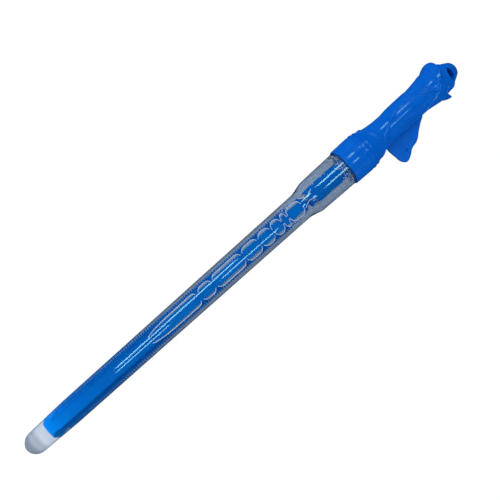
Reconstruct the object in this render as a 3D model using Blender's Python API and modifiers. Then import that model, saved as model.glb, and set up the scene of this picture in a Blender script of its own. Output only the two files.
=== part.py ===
"""A bubble wand in its tube.

A clear tube of bubble solution lies on its side. Its screw cap carries the ridged wand inside the tube
and, outside it, a hollow grip in two halves with a leaf tab and an eyelet.

Along the axis, x runs from the tube's domed end to the grip's end. The grip is modelled with its
parting plane on z = 0, its leaf along -y and its front face along +z, and is then rolled until the
leaf's tip meets the surface that the wand lies on.
"""

import math

import bmesh
import bpy
from mathutils import Matrix, Vector

OBJECT_NAME = "bubble_wand"

# Driving dimensions, in metres.
FIT = 0.0003                  # clearance between pieces that touch

TUBE_WALL = 0.0010
END_RADIUS = 0.0097           # domed end of the tube
HEEL_RADIUS = 0.0107          # where the end's taper meets the long draft
HEEL_LENGTH = 0.0450
SHAFT_RADIUS = 0.01165        # foot of the shoulder
SHAFT_LENGTH = 0.2470
SHOULDER_LENGTH = 0.0154
CHAMBER_RADIUS = 0.01515      # wide chamber, at the cap
CHAMBER_DRAFT = 0.0006
CHAMBER_LENGTH = 0.0311
LEDGE_STEP = 0.0007           # chamber down to the screw neck
NECK_LENGTH = 0.0145
NECK_WALL = 0.0016

SEAL_THICKNESS = 0.0012
SEAL_OVERLAP = 0.0010         # inside the neck's bore

CAP_WALL = 0.0015
CAP_DRAFT = 0.00035
CAP_EDGE = 0.0006
WEB_THICKNESS = 0.0017
CROWN_HEIGHT = 0.0025         # cap above its web
SPIGOT_LENGTH = 0.0070
SPIGOT_WALL = 0.0015
SOCKET_HEIGHT = 0.0090
SOCKET_WALL = 0.0016

STEM_RADIUS = 0.0056
STEM_LENGTH = 0.0525
STEM_NOSE = 0.0012
PLUG_RADIUS = 0.0048

TIP_GAP = 0.0265              # tube's end to the blade's tip
TIP_WIDTH = 0.0148            # blade at its tip, full width at the tube's heel
TIP_ROUND = 0.0034            # corners of the blunt tip
BLADE_WIDTH = 0.0160          # at the heel; it widens with the bore
BLADE_END_WIDTH = 0.0172
BLADE_THICKNESS = 0.0074
RAIL_WIDTH = 0.0045
BAR_WIDTH = 0.0030
SLOT_COUNT = 6
PLAIN_END = 0.0120            # blade without ridges, below the stem
RIDGE_PITCH = 0.00235
RIDGE_HEIGHT = 0.0008
TANG_WIDTH = 0.0064
TANG_THICKNESS = 0.0040
TANG_LENGTH = 0.0160          # inside the stem
TANG_TAPER = 0.0040

LIQUID_CLEARANCE = 0.0006     # liquid to the wand
LEVEL_PLACE = 0.1300          # where the free surface meets the top of the bore

GRIP_LENGTH = 0.1007
GRIP_WALL = 0.0016
MOUTH_WALL = 0.0037
BEAD_LENGTH = 0.0044
BEAD_DROP = 0.0007
GRIP_SHOULDER_RADIUS = 0.0155
WAIST_RADIUS = 0.0110
GRIP_BOW = 0.0018             # grip's centre line, away from the leaf
FLARE_RADIUS = 0.0138
BUD_RADIUS = 0.0122
DOME_RADIUS = 0.0104

# Places along the grip and lengths on it, as shares of its length.
BAND_SHARE = 0.0675           # where the bands cross the parting plane
CROSSING_SHARE = 0.1629       # where they cross each other
LEAF_SHARE = 0.1768
LEAF_LENGTH_SHARE = 0.4022
LEAF_PEG_SHARE = 0.3188
POST_SHARES = (0.2681, 0.5958)
WAIST_SHARE = 0.4171
FLARE_SHARE = 0.7319
BUD_SHARE = 0.8789
EYELET_SHARE = 0.8759
DOME_SHARE = 0.0993

PETAL_RADIUS = 0.01695
PETAL_ROOT = 0.0040           # below the flare
PETAL_BULGE = 0.0100          # above the flare
PETAL_LENGTH = 0.0160         # above the flare
PETAL_CURL = 0.0016
PETAL_WALL = 0.0016
LEAF_SIDE_SLOPE = 0.62        # petal edge, along the axis for each unit across it
FAR_SIDE_SLOPE = 0.66

BAND_RADIUS = 0.00105
BAND_SUNK = 0.00040
BAND_UNDER = 0.00015          # how much lower the crossed band lies
BAND_SWING = math.radians(56.0)
INNER_PETAL_SWING = math.radians(42.0)
INNER_PETAL_LENGTH = 0.0095

LEAF_REACH = 0.0351           # from the tube's axis
LEAF_THICKNESS = 0.0040
LEAF_EDGE = 0.0014
LEAF_PEG_REACH = 0.0251
LEAF_TIP = 0.25               # share of the leaf's length
LEAF_ROOT = 0.12              # share of the leaf's reach
# Leaf's free edge: shares of its length along the grip and of its reach.
LEAF_OUTLINE = (
    (0.00, 0.41), (0.07, 0.72), (0.14, 0.93), (LEAF_TIP, 1.00), (0.36, 0.93), (0.46, 0.82),
    (0.64, 0.74), (0.77, 0.58), (0.90, 0.43), (1.00, 0.33),
)

PEG_RADIUS = 0.0011
PEG_LENGTH = 0.0034
POST_RADIUS = 0.0026

EYELET_WIDTH = 0.0090
EYELET_HEIGHT = 0.0050

WELD = 0.000004               # points closer than this are one point
FLAT = math.radians(0.1)      # faces closer in direction than this are one flat face
TURN_STEPS = 32
GRIP_SIDES = 28

# Places along the axis.
X_SHOULDER = HEEL_LENGTH + SHAFT_LENGTH
X_CHAMBER = X_SHOULDER + SHOULDER_LENGTH
X_LEDGE = X_CHAMBER + CHAMBER_LENGTH
X_LIP = X_LEDGE + NECK_LENGTH
X_SEAL = X_LIP + FIT
X_WEB = X_SEAL + SEAL_THICKNESS + FIT
X_WEB_TOP = X_WEB + WEB_THICKNESS
X_CAP_TOP = X_WEB_TOP + CROWN_HEIGHT
X_SPIGOT = X_CAP_TOP + SPIGOT_LENGTH
X_GRIP = X_CAP_TOP + FIT
X_BAND = X_GRIP + BAND_SHARE * GRIP_LENGTH
X_CROSSING = X_GRIP + CROSSING_SHARE * GRIP_LENGTH
X_LEAF = X_GRIP + LEAF_SHARE * GRIP_LENGTH
X_LEAF_PEG = X_GRIP + LEAF_PEG_SHARE * GRIP_LENGTH
X_WAIST = X_GRIP + WAIST_SHARE * GRIP_LENGTH
X_FLARE = X_GRIP + FLARE_SHARE * GRIP_LENGTH
X_BUD = X_GRIP + BUD_SHARE * GRIP_LENGTH
X_EYELET = X_GRIP + EYELET_SHARE * GRIP_LENGTH
X_END = X_GRIP + GRIP_LENGTH
LEAF_LENGTH = LEAF_LENGTH_SHARE * GRIP_LENGTH
DOME_LENGTH = DOME_SHARE * GRIP_LENGTH
X_DOME = X_END - DOME_LENGTH
X_STEM = X_SEAL - STEM_LENGTH
X_BLADE_END = X_STEM - TANG_TAPER

# Radii that follow from the driving dimensions.
CHAMBER_FOOT_RADIUS = CHAMBER_RADIUS - CHAMBER_DRAFT
NECK_RADIUS = CHAMBER_RADIUS - LEDGE_STEP
NECK_BORE = NECK_RADIUS - NECK_WALL
CAP_BORE = NECK_RADIUS + FIT
CAP_RIM_RADIUS = CAP_BORE + CAP_WALL
CAP_RADIUS = CAP_RIM_RADIUS + CAP_DRAFT
SEAL_BORE = NECK_BORE - SEAL_OVERLAP
SPIGOT_RADIUS = CAP_RADIUS - MOUTH_WALL - FIT
SOCKET_BORE = PLUG_RADIUS + FIT
BLADE_DEPTH = BLADE_THICKNESS + 2 * RIDGE_HEIGHT

# How it lies: on the tube's heel and the cap's top edge, with the leaf's tip down.
REST_SLOPE = (CAP_RADIUS - HEEL_RADIUS) / (X_CAP_TOP - CAP_EDGE - HEEL_LENGTH)
REST_TILT = math.atan(REST_SLOPE)


def axis_height(x):
    """Height of the tube's axis above the surface it lies on."""
    return (HEEL_RADIUS + (x - HEEL_LENGTH) * REST_SLOPE) * math.cos(REST_TILT)


def leaf_lean():
    """How far the grip rolls before the rounded edge of the leaf's tip meets the surface."""
    reach = LEAF_REACH - LEAF_EDGE
    half = LEAF_THICKNESS / 2 - LEAF_EDGE
    drop = axis_height(X_LEAF + LEAF_TIP * LEAF_LENGTH) - LEAF_EDGE
    return math.asin(drop / math.hypot(reach, half)) - math.atan2(half, reach)


def clear_scene():
    for old in list(bpy.data.objects):
        bpy.data.objects.remove(old)


def new_collection(name):
    collection = bpy.data.collections.new(name)
    bpy.context.scene.collection.children.link(collection)
    return collection


def plastic(name, colour, roughness, alpha=1.0):
    material = bpy.data.materials.new(name)
    material.use_nodes = True
    shader = material.node_tree.nodes["Principled BSDF"]
    shader.inputs["Base Color"].default_value = (*colour, 1.0)
    shader.inputs["Roughness"].default_value = roughness
    shader.inputs["Metallic"].default_value = 0.0
    shader.inputs["Alpha"].default_value = alpha
    return material


def add_object(name, data):
    made = bpy.data.objects.new(name, data)
    bpy.context.scene.collection.objects.link(made)
    return made


def evaluated_mesh(made):
    graph = bpy.context.evaluated_depsgraph_get()
    return bpy.data.meshes.new_from_object(made.evaluated_get(graph))


def welded(mesh):
    """The mesh in as few triangles as its flat faces need, welded, with its faces pointing out."""
    work = bmesh.new()
    work.from_mesh(mesh)
    bmesh.ops.remove_doubles(work, verts=work.verts, dist=WELD)
    bmesh.ops.dissolve_degenerate(work, edges=work.edges, dist=WELD)
    bmesh.ops.dissolve_limit(work, angle_limit=FLAT, verts=work.verts, edges=work.edges)
    bmesh.ops.triangulate(work, faces=work.faces)
    bmesh.ops.recalc_face_normals(work, faces=work.faces)
    work.to_mesh(mesh)
    work.free()
    return mesh


def mesh_of(curve):
    """A mesh object in place of a curve object, under its name."""
    mesh = welded(evaluated_mesh(curve))
    name = curve.name
    place = curve.matrix_world.copy()
    bpy.data.objects.remove(curve)
    made = add_object(name, mesh)
    made.matrix_world = place
    return made


def combine(target, tools, operation):
    """Unite the tools with the target, or cut them from it, one by one, and drop them."""
    for tool in tools:
        step = target.modifiers.new(operation.lower(), "BOOLEAN")
        step.operation = operation
        step.object = tool
        mesh = welded(evaluated_mesh(target))
        target.modifiers.clear()
        target.data = mesh
        bpy.data.objects.remove(tool)
    return target


def move_mesh(made, matrix):
    made.data.transform(matrix)
    return made


def turned(name, profile):
    """A profile of (x, radius) points, turned about the x axis, as a mesh object."""
    work = bmesh.new()
    points = [work.verts.new((x, radius, 0.0)) for x, radius in profile]
    for first, second in zip(points, points[1:]):
        work.edges.new((first, second))
    if profile[0][1] > 0:
        work.edges.new((points[-1], points[0]))
    mesh = bpy.data.meshes.new(name)
    work.to_mesh(mesh)
    work.free()
    outline = add_object(name + "_profile", mesh)
    screw = outline.modifiers.new("turn", "SCREW")
    screw.axis = "X"
    screw.steps = TURN_STEPS
    screw.render_steps = TURN_STEPS
    screw.use_merge_vertices = True
    screw.merge_threshold = 0.00001
    made = add_object(name, welded(evaluated_mesh(outline)))
    bpy.data.objects.remove(outline)
    return made


def swept(name, points, radii, resolution):
    """A round tube through the points, with a radius at each, as a mesh object."""
    data = bpy.data.curves.new(name, "CURVE")
    data.dimensions = "3D"
    data.bevel_depth = 1.0
    data.bevel_resolution = resolution
    data.use_fill_caps = True
    spline = data.splines.new("POLY")
    spline.points.add(len(points) - 1)
    for knot, place, radius in zip(spline.points, points, radii):
        knot.co = (*place, 1.0)
        knot.radius = radius
    return mesh_of(add_object(name, data))


def plate(name, outlines, thickness, smooth=False, rounding=0.0):
    """Closed outlines in the xy plane, holes inside the first, as a plate centred on z = 0."""
    data = bpy.data.curves.new(name, "CURVE")
    data.dimensions = "2D"
    data.fill_mode = "BOTH"
    data.extrude = thickness / 2 - rounding
    data.bevel_depth = rounding
    data.bevel_resolution = 1
    data.offset = -rounding
    data.resolution_u = 3
    for outline in outlines:
        spline = data.splines.new("BEZIER" if smooth else "POLY")
        knots = spline.bezier_points if smooth else spline.points
        knots.add(len(outline) - 1)
        for knot, (x, y) in zip(knots, outline):
            knot.co = (x, y, 0.0) if smooth else (x, y, 0.0, 1.0)
            if smooth:
                knot.handle_left_type = "AUTO"
                knot.handle_right_type = "AUTO"
        spline.use_cyclic_u = True
    return mesh_of(add_object(name, data))


def block(name, low, high):
    bpy.ops.mesh.primitive_cube_add(size=1.0)
    made = bpy.context.object
    made.name = name
    size = Vector(high) - Vector(low)
    centre = (Vector(high) + Vector(low)) / 2
    return move_mesh(made, Matrix.Translation(centre) @ Matrix.Diagonal((*size, 1.0)))


def rod(name, place, radius, low, high, sides=16):
    """A round rod along z, over (x, y)."""
    bpy.ops.mesh.primitive_cylinder_add(vertices=sides, radius=radius, depth=high - low)
    made = bpy.context.object
    made.name = name
    return move_mesh(made, Matrix.Translation((place[0], place[1], (low + high) / 2)))


def arc(centre, radius, start, end, steps):
    """Points on an arc in a plane, angles in degrees, both ends included."""
    turns = [math.radians(start + (end - start) * i / steps) for i in range(steps + 1)]
    return [(centre[0] + radius * math.cos(t), centre[1] + radius * math.sin(t)) for t in turns]


def ease(u):
    return (1.0 - math.cos(math.pi * u)) / 2.0


def spread(start, end, count):
    """Even steps from start to end, both included."""
    return [start + (end - start) * i / count for i in range(count + 1)]


# Tube and liquid

def tube_profile(inset):
    """Outer wall from the domed end to the ledge, moved in by the inset."""
    radius = END_RADIUS - inset
    points = [(END_RADIUS + x, r) for x, r in arc((0.0, 0.0), radius, 180, 90, 6)]
    points[0] = (points[0][0], 0.0)
    points.append((HEEL_LENGTH, HEEL_RADIUS - inset))
    for u in spread(0.0, 1.0, 5):
        rise = ease(u) * (CHAMBER_FOOT_RADIUS - SHAFT_RADIUS)
        points.append((X_SHOULDER + SHOULDER_LENGTH * u, SHAFT_RADIUS + rise - inset))
    points.append((X_LEDGE - LEDGE_STEP - 2 * inset, CHAMBER_RADIUS - inset))
    return points


def neck_inside(inset):
    return [(X_LEDGE, NECK_BORE - inset), (X_LIP, NECK_BORE - inset)]


def make_tube():
    outside = tube_profile(0.0)
    outside += [(X_LEDGE, NECK_RADIUS), (X_LIP, NECK_RADIUS)]
    inside = tube_profile(TUBE_WALL) + neck_inside(0.0)
    return turned("tube", outside + inside[::-1])


def make_liquid():
    """The solution below its free surface, parted by the wand that stands in it."""
    profile = tube_profile(TUBE_WALL + FIT) + neck_inside(FIT)
    liquid = turned("bubble_solution", profile + [(X_LIP, 0.0)])
    half = BLADE_DEPTH / 2 + LIQUID_CLEARANCE
    side = 2 * CAP_RADIUS
    blade_way = block(
        "blade_way", (TIP_GAP - LIQUID_CLEARANCE, -half, -side), (X_STEM, half, side))
    stem_way = rod(
        "stem_way", (0.0, 0.0), STEM_RADIUS + LIQUID_CLEARANCE, X_STEM - LIQUID_CLEARANCE, X_SEAL, 32)
    move_mesh(stem_way, Matrix.Rotation(math.radians(90), 4, "Y"))
    bore = HEEL_RADIUS + (SHAFT_RADIUS - HEEL_RADIUS) * (LEVEL_PLACE - HEEL_LENGTH) / SHAFT_LENGTH
    air = block("air", (-X_END, -side, 0.0), (X_END, side, side))
    level = Matrix.Translation((LEVEL_PLACE, 0.0, bore - TUBE_WALL - FIT))
    move_mesh(air, level @ Matrix.Rotation(REST_TILT, 4, "Y"))
    return combine(liquid, [blade_way, stem_way, air], "DIFFERENCE")


# Cap and seal

def make_cap():
    rim = X_LEDGE + FIT
    socket = SOCKET_BORE + SOCKET_WALL
    inner = SPIGOT_RADIUS - SPIGOT_WALL
    top = X_WEB_TOP + SOCKET_HEIGHT
    return turned("screw_cap", [
        (rim, CAP_BORE), (rim, CAP_RIM_RADIUS - CAP_EDGE), (rim + CAP_EDGE, CAP_RIM_RADIUS),
        (X_CAP_TOP - CAP_EDGE, CAP_RADIUS), (X_CAP_TOP, CAP_RADIUS - CAP_EDGE),
        (X_CAP_TOP, SPIGOT_RADIUS), (X_SPIGOT - CAP_EDGE, SPIGOT_RADIUS),
        (X_SPIGOT, SPIGOT_RADIUS - CAP_EDGE), (X_SPIGOT, inner), (X_WEB_TOP, inner),
        (X_WEB_TOP, socket), (top, socket), (top, SOCKET_BORE), (X_WEB, SOCKET_BORE), (X_WEB, CAP_BORE),
    ])


def make_seal():
    outer = CAP_BORE - FIT
    end = X_SEAL + SEAL_THICKNESS
    return turned("cap_seal", [(X_SEAL, SEAL_BORE), (X_SEAL, outer), (end, outer), (end, SEAL_BORE)])


# Wand

def make_stem():
    """Stem with its flange under the cap's web, its plug in the socket and a slot for the blade."""
    flange = SEAL_BORE - 2 * FIT
    flange_top = X_SEAL + SEAL_THICKNESS
    plug_top = X_WEB_TOP + SOCKET_HEIGHT - FIT
    stem = turned("wand_stem", [
        (X_STEM, 0.0), (X_STEM, STEM_RADIUS - STEM_NOSE), (X_STEM + STEM_NOSE, STEM_RADIUS),
        (X_SEAL, STEM_RADIUS), (X_SEAL, flange), (flange_top, flange), (flange_top, PLUG_RADIUS),
        (plug_top - CAP_EDGE, PLUG_RADIUS), (plug_top, PLUG_RADIUS - CAP_EDGE), (plug_top, 0.0),
    ])
    half = Vector((0.0, TANG_THICKNESS / 2 + FIT, TANG_WIDTH / 2 + FIT))
    low = Vector((X_STEM - STEM_NOSE, 0.0, 0.0)) - half
    high = Vector((X_STEM + TANG_LENGTH + FIT, 0.0, 0.0)) + half
    return combine(stem, [block("tang_way", low, high)], "DIFFERENCE")


def ridged_edge():
    """Points along one edge of the blade seen edge-on, from before its tip to past its tang."""
    half = BLADE_THICKNESS / 2
    start = TIP_GAP + TIP_WIDTH / 2
    count = int((X_BLADE_END - PLAIN_END - start) / RIDGE_PITCH)
    points = [(TIP_GAP - BLADE_WIDTH, half)]
    for i in range(count):
        x = start + i * RIDGE_PITCH
        points += [(x, half), (x + RIDGE_PITCH / 2, half + RIDGE_HEIGHT)]
    past = X_STEM + 2 * TANG_LENGTH
    return points + [(X_BLADE_END, half), (X_STEM - FIT, TANG_THICKNESS / 2), (past, TANG_THICKNESS / 2)]


def slot_outline(start, end):
    radius = TIP_WIDTH / 2 - RAIL_WIDTH
    left = arc((start + radius, 0.0), radius, 90, 270, 8)
    return left + arc((end - radius, 0.0), radius, -90, 90, 8)


def blade_outlines():
    """Blade seen face-on: a blunt tip, rails that widen with the bore and a tang, with its row of slots."""
    half = BLADE_WIDTH / 2
    tang = TANG_WIDTH / 2
    end = X_STEM + TANG_LENGTH
    corner = (TIP_GAP + TIP_ROUND, TIP_WIDTH / 2 - TIP_ROUND)
    tip = arc(corner, TIP_ROUND, 90, 180, 7) + arc((corner[0], -corner[1]), TIP_ROUND, 180, 270, 7)
    top = [
        (HEEL_LENGTH, -half), (X_BLADE_END, -BLADE_END_WIDTH / 2), (X_STEM - FIT, -tang), (end, -tang)]
    outlines = [tip + top + [(x, -y) for x, y in reversed(top)]]
    first = TIP_GAP + RAIL_WIDTH
    pitch = (X_BLADE_END - first) / SLOT_COUNT
    for i in range(SLOT_COUNT):
        outlines.append(slot_outline(first + i * pitch, first + (i + 1) * pitch - BAR_WIDTH))
    return outlines


def make_blade():
    edge = ridged_edge()
    bar = plate("wand_blade", [edge + [(x, -y) for x, y in reversed(edge)]], 2 * BLADE_WIDTH)
    face = plate("blade_face", blade_outlines(), 2 * BLADE_DEPTH)
    move_mesh(face, Matrix.Rotation(math.radians(90), 4, "X"))
    return combine(bar, [face], "INTERSECT")


# Grip

def grip_centre(x):
    """How far the grip's centre line lies off the tube's axis, away from the leaf."""
    return GRIP_BOW * ease(min(max((x - X_GRIP) / (X_WAIST - X_GRIP), 0.0), 1.0))


def grip_radius(x):
    """Bead, shoulder, waist, flare, bud and dome, from the cap to the end."""
    shoulder = X_GRIP + BEAD_LENGTH
    if x < shoulder:
        return CAP_RADIUS - BEAD_DROP * (x - X_GRIP) / BEAD_LENGTH
    if x < X_WAIST:
        left = (X_WAIST - x) / (X_WAIST - shoulder)
        return WAIST_RADIUS + (GRIP_SHOULDER_RADIUS - WAIST_RADIUS) * left ** 3
    if x < X_FLARE:
        return WAIST_RADIUS + (FLARE_RADIUS - WAIST_RADIUS) * ((x - X_WAIST) / (X_FLARE - X_WAIST)) ** 2
    if x < X_BUD:
        return FLARE_RADIUS + (BUD_RADIUS - FLARE_RADIUS) * ease((x - X_FLARE) / (X_BUD - X_FLARE))
    if x < X_DOME:
        return BUD_RADIUS + (DOME_RADIUS - BUD_RADIUS) * (x - X_BUD) / (X_DOME - X_BUD)
    return DOME_RADIUS * math.sqrt(max(1.0 - ((x - X_DOME) / DOME_LENGTH) ** 2, 0.0))


def grip_point(x, swing, depth=0.0):
    """A point on the grip's surface, at an angle from its front face toward the leaf."""
    radius = grip_radius(x) - depth
    return (x, grip_centre(x) - radius * math.sin(swing), radius * math.cos(swing))


def make_grip_body():
    shoulder = X_GRIP + BEAD_LENGTH
    places = [X_GRIP, shoulder - FIT] + spread(shoulder, X_WAIST, 9) + spread(X_WAIST, X_FLARE, 6)[1:]
    places += spread(X_FLARE, X_BUD, 4)[1:] + [X_DOME]
    places += [X_DOME + DOME_LENGTH * math.sin(math.radians(a)) for a in (17, 33, 48, 61, 72, 81)]
    points = [(x, grip_centre(x), 0.0) for x in places]
    return swept("grip_body", points, [grip_radius(x) for x in places], GRIP_SIDES // 2 - 2)


def make_petals():
    """A flared cup round the bud, cut to a notch in front and behind so that two petals stand."""
    root = X_FLARE - PETAL_ROOT
    bulge = X_FLARE + PETAL_BULGE
    rim = X_FLARE + PETAL_LENGTH
    sunk = grip_radius(root) - PETAL_WALL
    outside = []
    for x in spread(root, bulge, 7):
        lift = math.sin(math.pi / 2 * (x - root) / (bulge - root)) ** 2
        outside.append((x, sunk + (PETAL_RADIUS - sunk) * lift))
    for x in spread(bulge, rim, 2)[1:]:
        outside.append((x, PETAL_RADIUS - PETAL_CURL * ((x - bulge) / (rim - bulge)) ** 2))
    inside = [(x, r - PETAL_WALL) for x, r in outside]
    petals = turned("petals", outside + inside[::-1])
    move_mesh(petals, Matrix.Translation((0.0, GRIP_BOW, 0.0)))
    wide = 2 * PETAL_RADIUS
    notch = plate("notch", [[
        (X_FLARE, GRIP_BOW), (X_FLARE + FAR_SIDE_SLOPE * wide, GRIP_BOW + wide),
        (X_END + wide, GRIP_BOW + wide), (X_END + wide, GRIP_BOW - wide),
        (X_FLARE + LEAF_SIDE_SLOPE * wide, GRIP_BOW - wide),
    ]], 4 * wide)
    return combine(petals, [notch], "DIFFERENCE")


def band_swing(x):
    """Angle of a raised band: over the parting plane to the front, out and back, then under a petal."""
    steep = math.pi / 2 / (X_CROSSING - X_BAND)
    if x < X_CROSSING:
        return -steep * (X_CROSSING - x)
    if x > X_FLARE:
        return -steep * (x - X_FLARE)
    return BAND_SWING * math.sin(math.pi * (x - X_CROSSING) / (X_FLARE - X_CROSSING))


def make_bands():
    """Four bands that cross on the front and the rear, and the inner petal's edge on each side."""
    places = spread(X_BAND - BAND_RADIUS, X_CROSSING, 5)
    places += spread(X_CROSSING, X_FLARE, 9)[1:]
    places += spread(X_FLARE, X_FLARE + 3 * BAND_RADIUS, 2)[1:]
    bands = []
    for face in (0.0, math.pi):
        for hand, depth in ((1.0, BAND_SUNK), (-1.0, BAND_SUNK + BAND_UNDER)):
            points = [grip_point(x, face + hand * band_swing(x), depth) for x in places]
            bands.append(swept("band", points, [BAND_RADIUS] * len(points), 1))
        edge = []
        for u in spread(-1.0, 1.0, 8):
            x = X_FLARE + INNER_PETAL_LENGTH * (1.0 - u * u)
            edge.append(grip_point(x, face + u * INNER_PETAL_SWING, BAND_SUNK))
        bands.append(swept("inner_petal", edge, [BAND_RADIUS] * len(edge), 1))
    return bands


def make_leaf():
    edge = [(X_LEAF + a * LEAF_LENGTH, -b * LEAF_REACH) for a, b in LEAF_OUTLINE]
    root = [(X_LEAF + LEAF_LENGTH, -LEAF_ROOT * LEAF_REACH), (X_LEAF, -LEAF_ROOT * LEAF_REACH)]
    return plate("leaf", [edge + root], LEAF_THICKNESS, smooth=True, rounding=LEAF_EDGE)


def make_cavity():
    """Inside of the grip, closed below the flare, with a wider mouth for the cap's spigot."""
    end = X_SPIGOT + FIT
    places = spread(end - GRIP_WALL, X_WAIST, 5) + spread(X_WAIST, X_FLARE - 2 * GRIP_WALL, 4)[1:]
    points = [(x, grip_centre(x), 0.0) for x in places]
    hollow = swept("hollow", points, [grip_radius(x) - GRIP_WALL for x in places], 8)
    mouth = rod("mouth", (0.0, 0.0), SPIGOT_RADIUS + FIT, X_GRIP - FIT, end, GRIP_SIDES)
    move_mesh(mouth, Matrix.Rotation(math.radians(90), 4, "Y"))
    return [mouth, hollow]


def make_eyelet():
    bend = EYELET_HEIGHT / 2
    reach = EYELET_WIDTH / 2 - bend
    outline = arc((X_EYELET, GRIP_BOW + reach), bend, 0, 180, 8)
    outline += arc((X_EYELET, GRIP_BOW - reach), bend, 180, 360, 8)
    return plate("eyelet", [outline], 4 * BUD_RADIUS)


def make_grip():
    """The two half shells: the front with holes, the rear with the pegs that fit them."""
    whole = make_grip_body()
    combine(whole, [make_petals(), make_leaf()] + make_bands(), "UNION")
    combine(whole, make_cavity(), "DIFFERENCE")
    places = [X_GRIP + share * GRIP_LENGTH for share in POST_SHARES]
    seats = [(x, grip_centre(x)) for x in places]
    posts = [rod("post", seat, POST_RADIUS, -WAIST_RADIUS + FIT, WAIST_RADIUS - FIT) for seat in seats]
    combine(whole, posts, "UNION")
    combine(whole, [make_eyelet()], "DIFFERENCE")
    far = 4 * LEAF_REACH
    front = add_object("grip_front_shell", whole.data.copy())
    rear = add_object("grip_rear_shell", whole.data.copy())
    bpy.data.objects.remove(whole)
    combine(front, [block("rear_side", (0.0, -far, -far), (far + X_END, far, FIT / 2))], "DIFFERENCE")
    combine(rear, [block("front_side", (0.0, -far, -FIT / 2), (far + X_END, far, far))], "DIFFERENCE")
    leaf_seat = (X_LEAF_PEG, -LEAF_PEG_REACH)
    holes = [rod("hole", seat, PEG_RADIUS + FIT, -PEG_LENGTH, PEG_LENGTH + FIT, 12) for seat in seats]
    holes.append(rod("hole", leaf_seat, PEG_RADIUS + FIT, -PEG_LENGTH, 2 * LEAF_THICKNESS, 12))
    pegs = [rod("peg", seat, PEG_RADIUS, -PEG_LENGTH, PEG_LENGTH, 12) for seat in seats]
    pegs.append(rod("peg", leaf_seat, PEG_RADIUS, -LEAF_THICKNESS / 4, LEAF_THICKNESS / 2 - FIT, 12))
    combine(front, holes, "DIFFERENCE")
    combine(rear, pegs, "UNION")
    return front, rear


def make_axis(name, place, roll, parent):
    """An empty on the tube's axis, which carries the pieces that move together."""
    empty = add_object(name, None)
    empty.location = (place, 0.0, 0.0)
    empty.rotation_euler = (roll, 0.0, 0.0)
    empty.parent = parent
    return empty


def attach(made, parent, material, collection):
    """Put a piece on its axis, with its origin there, and give it its material."""
    move_mesh(made, Matrix.Translation((-parent.location.x, 0.0, 0.0)))
    made.parent = parent
    made.data.materials.clear()
    made.data.materials.append(material)
    made.data.shade_smooth()
    made.data.set_sharp_from_angle(angle=math.radians(35))
    bpy.context.scene.collection.objects.unlink(made)
    collection.objects.link(made)


def world_corners(pieces):
    bpy.context.view_layer.update()
    points = [made.matrix_world @ vertex.co for made in pieces for vertex in made.data.vertices]
    low = [min(point[i] for point in points) for i in range(3)]
    high = [max(point[i] for point in points) for i in range(3)]
    return low, high


def main():
    clear_scene()
    collection = new_collection(OBJECT_NAME)
    clear = plastic("clear_plastic", (0.86, 0.90, 0.94), 0.08, 0.25)
    liquid = plastic("bubble_solution", (0.80, 0.86, 0.92), 0.05, 0.30)
    blue = plastic("blue_plastic", (0.001, 0.115, 0.585), 0.32)
    natural = plastic("natural_foam", (0.85, 0.85, 0.82), 0.60)

    rest = make_axis("rest", 0.0, 0.0, None)
    rest.rotation_euler = (0.0, -REST_TILT, 0.0)
    pull_axis = make_axis("pull_axis", X_LIP, 0.0, rest)
    wand_axis = make_axis("wand_axis", X_LIP, 0.0, rest)
    grip_axis = make_axis("grip_axis", X_LIP, leaf_lean(), rest)

    attach(make_tube(), rest, clear, collection)
    attach(make_liquid(), rest, liquid, collection)
    attach(make_seal(), pull_axis, natural, collection)
    attach(make_cap(), wand_axis, blue, collection)
    attach(make_stem(), wand_axis, blue, collection)
    attach(make_blade(), wand_axis, blue, collection)
    for shell in make_grip():
        attach(shell, grip_axis, blue, collection)

    low, high = world_corners(list(collection.objects))
    rest.location = (-(low[0] + high[0]) / 2, -(low[1] + high[1]) / 2, -low[2])
    bpy.context.view_layer.update()


main()
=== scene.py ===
"""Looks of a bubble wand that lies closed in its tube.

Each piece is modelled along x, from the tube's domed end to the grip's end. The grip has its parting
plane on z = 0, its leaf along -y and its front along +z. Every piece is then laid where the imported
model lies.
"""

import math
import random

import bmesh
import bpy
from mathutils import Matrix, Vector


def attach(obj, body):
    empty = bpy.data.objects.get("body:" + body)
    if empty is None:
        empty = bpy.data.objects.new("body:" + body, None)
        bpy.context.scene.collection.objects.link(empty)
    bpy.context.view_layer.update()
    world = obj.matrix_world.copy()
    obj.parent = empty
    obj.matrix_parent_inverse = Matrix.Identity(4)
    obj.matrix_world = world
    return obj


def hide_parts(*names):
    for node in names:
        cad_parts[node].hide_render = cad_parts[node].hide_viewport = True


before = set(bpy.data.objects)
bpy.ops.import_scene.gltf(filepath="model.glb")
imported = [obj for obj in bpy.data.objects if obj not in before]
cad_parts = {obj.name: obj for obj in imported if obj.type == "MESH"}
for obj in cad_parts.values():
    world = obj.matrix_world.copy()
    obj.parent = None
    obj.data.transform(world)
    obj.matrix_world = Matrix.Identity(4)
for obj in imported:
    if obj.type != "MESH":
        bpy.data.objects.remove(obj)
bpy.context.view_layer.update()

# How the part lies, as its solids do, in metres.
REST_PLACE = Vector((-0.229905, 0.006580, 0.009859))
REST_TILT = math.radians(1.07851)
LEAF_LEAN = math.radians(26.8184)

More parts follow.
